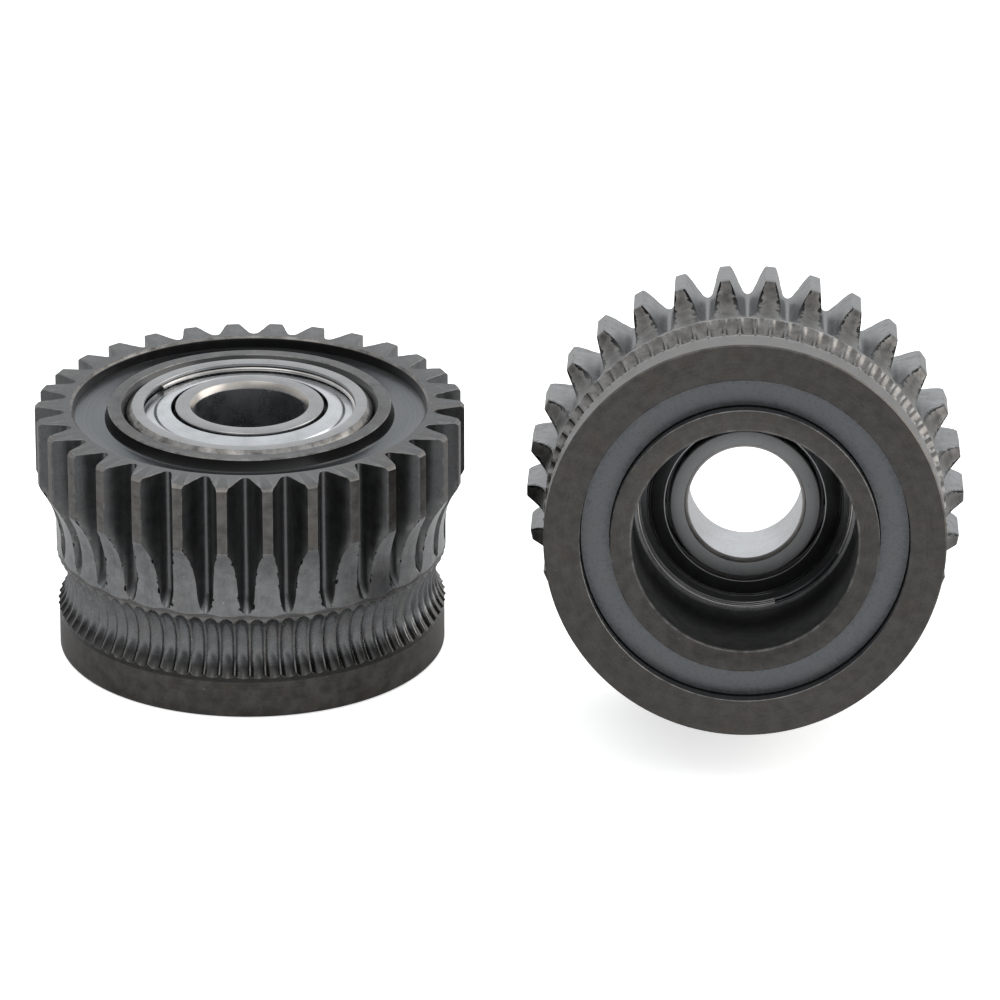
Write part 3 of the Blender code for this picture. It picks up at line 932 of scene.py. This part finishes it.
def make_materials():
    """Every look by its short name, the gear's own first. The numbers are the level of grey, the
    roughness, the warmth and, after the tool marks' direction, their strength."""
    looks = {
        "turned": oxide("turned_oxide", 0.145, 0.38, 0.05, "round", 0.25, mottle=0.28),
        "sweep": oxide("swept_run_out", 0.25, 0.24, -0.02, "along", 0.4, mottle=0.2),
        "flank": oxide("milled_flank", 0.13, 0.34, -0.02, "along", mottle=0.12),
        "root": oxide("tooth_root", 0.15, 0.3, -0.02, "along", mottle=0.08),
        # Painted shade on the lower ends of the notch floors and ridges
        "notch": oxide("notch_floor", 0.22, 0.26, -0.025, mottle=0.12, painted_shade_below=2.45),
        "ridge": oxide("notch_ridge", 0.19, 0.32, 0.02, mottle=0.25, painted_shade_below=2.1),
        "face": oxide("end_face", 0.14, 0.42, -0.01, "round", 0.2, mottle=0.1),
        "floor": oxide("recess_floor", 0.13, 0.22, -0.06, "round", 0.3, mottle=0.05, specks=0.2),
        "collar": oxide("collar_face", 0.13, 0.4, 0.0, "round", 0.4, mottle=0.3),
        "chamfer": oxide("recess_chamfer", 0.14, 0.26, 0.05, "round", 0.4, mottle=0.5),
        # Painted shade: the walls of the recess, collar, seat and flange recess, and the through bore,
        # are painted nearly black for the shade in them
        "dark": oxide("painted_shade_wall", 0.006, 0.2, 0.0, "round", 0.4, shine=0.5),
        "edge": oxide("worn_edge", 0.16, 0.42, 0.03, mottle=0.5),
        "bore": oxide("painted_shade_bore", 0.008, 0.5, 0.0, "round", 0.3, specks=0.1, shine=0.12),
        "flange": oxide("flange_face", 0.11, 0.42, 0.06, "round", 0.2, mottle=0.16),
        "annulus": oxide("annulus_floor", 0.225, 0.38, -0.05, "radial", 1.5, mottle=0.06, specks=0.2),
        "rim": oxide("flange_rim", 0.1, 0.36, 0.06, "round", 0.25, mottle=0.28),
    }
    looks["ring"] = bright_steel("ground_steel", 0.34, 0.28, -0.01)
    # Painted light: the inner ring's lower side, seen down the bore, is a brighter copy of the ring
    # steel; it is also rougher, with a grain without direction
    looks["lit_matte_ring"] = bright_steel("lit_matte_steel", 0.42, 0.45, -0.01, turned=False, depth=0.8)
    looks["corner"] = bright_steel("ring_corner", 0.42, 0.3, 0.07, depth=0.3)
    looks["dark_corner"] = oxide("dark_ring_corner", 0.16, 0.28, 0.04, "round", 0.4, mottle=0.6)
    looks["shaft_bore"] = bright_steel("shaft_bore", 0.55, 0.28, -0.02, turned=False, depth=0.5)
    looks["shield"] = bright_steel("pressed_steel", 0.58, 0.22, -0.03)
    # Painted shade: the bottom shield is the same pressed steel as the top one, painted darker for the
    # shade deep in the bore
    looks["inner_shield"] = bright_steel("shaded_pressed_steel", 0.38, 0.18, -0.02)
    looks["wire"] = bright_steel("spring_wire", 0.5, 0.2, 0.04)
    looks["cage"] = bright_steel("cage_steel", 0.4, 0.4, 0.05, turned=False)
    looks["ball"] = bright_steel("ball_steel", 0.68, 0.08, 0.0, turned=False, depth=0.05)
    return looks


def second_gear_lit_and_shaded_looks(looks):
    """Lit and shaded copies of the gear's looks for the second gear: painted highlight makes its tips,
    flanks and roots brighter, and painted shade makes its run-outs and notches darker and browner and
    its ridges darker; its run-outs and flanks carry heavier black burrs.
    """
    return looks | {
        "turned": oxide("lit_tip_copy", 0.2, 0.36, -0.01, "round", 0.25, mottle=0.25),
        "sweep": oxide("shaded_run_out_copy", 0.095, 0.36, 0.05, "along", 0.4, mottle=0.45, burrs=0.35),
        "flank": oxide("lit_flank_copy", 0.18, 0.3, -0.03, "along", mottle=0.5, burrs=0.35),
        "root": oxide("lit_root_copy", 0.17, 0.34, -0.03, "along", mottle=0.2),
        "notch": oxide("shaded_notch_copy", 0.15, 0.26, 0.04, mottle=0.35),
        "ridge": oxide("shaded_ridge_copy", 0.16, 0.3, 0.01, mottle=0.3),
    }


# ---------------------------------------------------------------- assembly


def build_units(looks):
    """Both units. They share every mesh but that of the gear body."""
    gears = {"left": gear_mesh(looks), "right": gear_mesh(second_gear_lit_and_shaded_looks(looks))}
    outer = outer_ring_mesh([looks["ring"], looks["dark_corner"]])
    inner = inner_ring_mesh([looks[name] for name in ("ring", "corner", "shaft_bore", "lit_matte_ring")])
    plates = {"top": looks["shield"], "bottom": looks["inner_shield"]}
    shields = {word: shield_mesh(sign, [plates[word]]) for word, sign in WORDS}
    wires = {word: snap_ring_mesh(sign, SNAP_GAPS_AT[word], looks["wire"]) for word, sign in WORDS}
    cage = cage_mesh(looks["cage"])
    ball = ball_mesh(looks["ball"])
    for side in SIDES:
        unit = UNITS[side]
        seat = unit @ MID_BEARING
        body = side + "_gear"
        place(side + "_gear_body", gears[side], unit, body, side + "_drive_gear", "gear_body")
        place(side + "_outer_race", outer, seat, body, side + "_outer_ring", "bearing_ring")
        place(side + "_inner_race", inner, seat, "inner_rings", side + "_inner_ring", "bearing_ring")
        for word, _ in WORDS:
            shield = f"{side}_{word}_shield"
            wire = f"{side}_{word}_snap_ring"
            place(shield + "_plate", shields[word], seat, body, shield, "shield")
            place(wire + "_wire", wires[word], seat, body, wire, "snap_ring")
        place(side + "_crown_cage", cage, seat, side + "_cage", side + "_ball_cage", "cage")
        for k in range(BALL_COUNT):
            node = f"{side}_ball_{k + 1}"
            place(node + "_steel", ball, seat @ ball_spot(k), side + "_cage", node, "ball")


# ---------------------------------------------------------------- stage, light and camera

STAGE_HALF = 3.0
FLOOR_DROP = 0.00003  # the floor lies this far under the object, so that no two faces coincide
FLOOR_ROUGH = 0.7
FLOOR_PALE, FLOOR_GLOW = 0.93, 0.6
FLOOR_MIRRORED = 0.6  # how pale the floor is in reflections
BRIGHT_WAY = (0.3, 0.52, 0.8)  # direction in which the studio is brightest
WORLD_DIM, WORLD_BRIGHT = 0.12, 1.05
DIM_UP_TO, BRIGHT_FROM = -0.55, 0.45  # where along BRIGHT_WAY, from -1 to 1, the studio brightens
WORLD_COLOUR = (0.97, 0.985, 1.0, 1)
LAMP_AIM = (0, 0, 0.006)
LAMPS = (  # name, place and width in metres, power in watts, colour
    ("key_softbox", (-0.2, -0.3, 0.7), 0.5, 0.8, (1, 1, 1)),
    ("side_softbox", (0.6, 0, 0.25), 0.6, 2.2, (1, 0.97, 0.93)),
)
ELEVATION = math.radians(23.6)
CAMERA_DISTANCE = 0.36
CLIP_START, CLIP_END = 0.01, 10
SENSOR = 36.0
VIEW_WIDTH = 45.249  # width of the picture at the aim point, in mm
AIM_FROM_LEFT_UNIT = (11.19, 6.15)  # right and up in the picture from the left unit's foot, in mm


def make_stage():
    """A pale floor that looks darker in the metal's reflections, as a floor cut short would."""
    mesh = bpy.data.meshes.new("floor")
    h = STAGE_HALF
    mesh.from_pydata([(-h, -h, 0), (h, -h, 0), (h, h, 0), (-h, h, 0)], [], [(0, 1, 2, 3)])
    floor = bpy.data.objects.new("floor", mesh)
    bpy.context.scene.collection.objects.link(floor)
    floor.location = (0, 0, -FLOOR_DROP)
    n = Nodes("pale_floor")
    mirrored = n.add("ShaderNodeLightPath").outputs["Is Glossy Ray"]
    for name, value in (
        ("Base Color", n.ramp(mirrored, FLOOR_PALE, FLOOR_MIRRORED, 0, 1)),
        ("Emission Strength", n.ramp(mirrored, FLOOR_GLOW, 0, 0, 1)),
        ("Emission Color", (1, 1, 1)),
        ("Roughness", FLOOR_ROUGH),
    ):
        n.put(value, n.shader.inputs[name])
    mesh.materials.append(n.material)


def make_world():
    """A studio that is bright above and behind the object and dim behind the camera."""
    world = bpy.data.worlds.new("studio")
    bpy.context.scene.world = world
    world.use_nodes = True
    tree = world.node_tree
    look = tree.nodes.new("ShaderNodeTexCoord")
    lean = tree.nodes.new("ShaderNodeVectorMath")
    lean.operation = "DOT_PRODUCT"
    lean.inputs[1].default_value = BRIGHT_WAY
    level = tree.nodes.new("ShaderNodeMapRange")
    level.interpolation_type = "SMOOTHSTEP"
    level.inputs["From Min"].default_value = DIM_UP_TO
    level.inputs["From Max"].default_value = BRIGHT_FROM
    level.inputs["To Min"].default_value = WORLD_DIM
    level.inputs["To Max"].default_value = WORLD_BRIGHT
    background = tree.nodes["Background"]
    background.inputs["Color"].default_value = WORLD_COLOUR
    tree.links.new(look.outputs["Generated"], lean.inputs[0])
    tree.links.new(lean.outputs["Value"], level.inputs["Value"])
    tree.links.new(level.outputs["Result"], background.inputs["Strength"])


def make_light():
    """The studio and two soft square lamps."""
    bpy.context.scene.view_settings.view_transform = "Standard"
    make_world()
    for name, spot, width, power, colour in LAMPS:
        lamp = bpy.data.lights.new(name, "AREA")
        lamp.shape = "SQUARE"
        lamp.size = width
        lamp.energy = power
        lamp.color = colour
        item = bpy.data.objects.new(name, lamp)
        bpy.context.scene.collection.objects.link(item)
        item.location = spot
        item.rotation_euler = (Vector(LAMP_AIM) - Vector(spot)).to_track_quat("-Z", "Y").to_euler()


def make_camera():
    """The camera looks along +Y and down, from the front."""
    left_foot = UNITS["left"].translation
    right_way = Vector((1, 0, 0))
    up_way = Vector((0, math.sin(ELEVATION), math.cos(ELEVATION)))
    back_way = Vector((0, -math.cos(ELEVATION), math.sin(ELEVATION)))
    aim = left_foot + (right_way * AIM_FROM_LEFT_UNIT[0] + up_way * AIM_FROM_LEFT_UNIT[1]) * MM
    data = bpy.data.cameras.new("camera")
    data.sensor_width = SENSOR
    data.lens = SENSOR * CAMERA_DISTANCE / (VIEW_WIDTH * MM)
    data.clip_start, data.clip_end = CLIP_START, CLIP_END
    camera = bpy.data.objects.new("camera", data)
    bpy.context.scene.collection.objects.link(camera)
    camera.location = aim + back_way * CAMERA_DISTANCE
    camera.rotation_euler = (-back_way).to_track_quat("-Z", "Y").to_euler()
    bpy.context.scene.camera = camera


build_units(make_materials())
make_stage()
make_light()
make_camera()
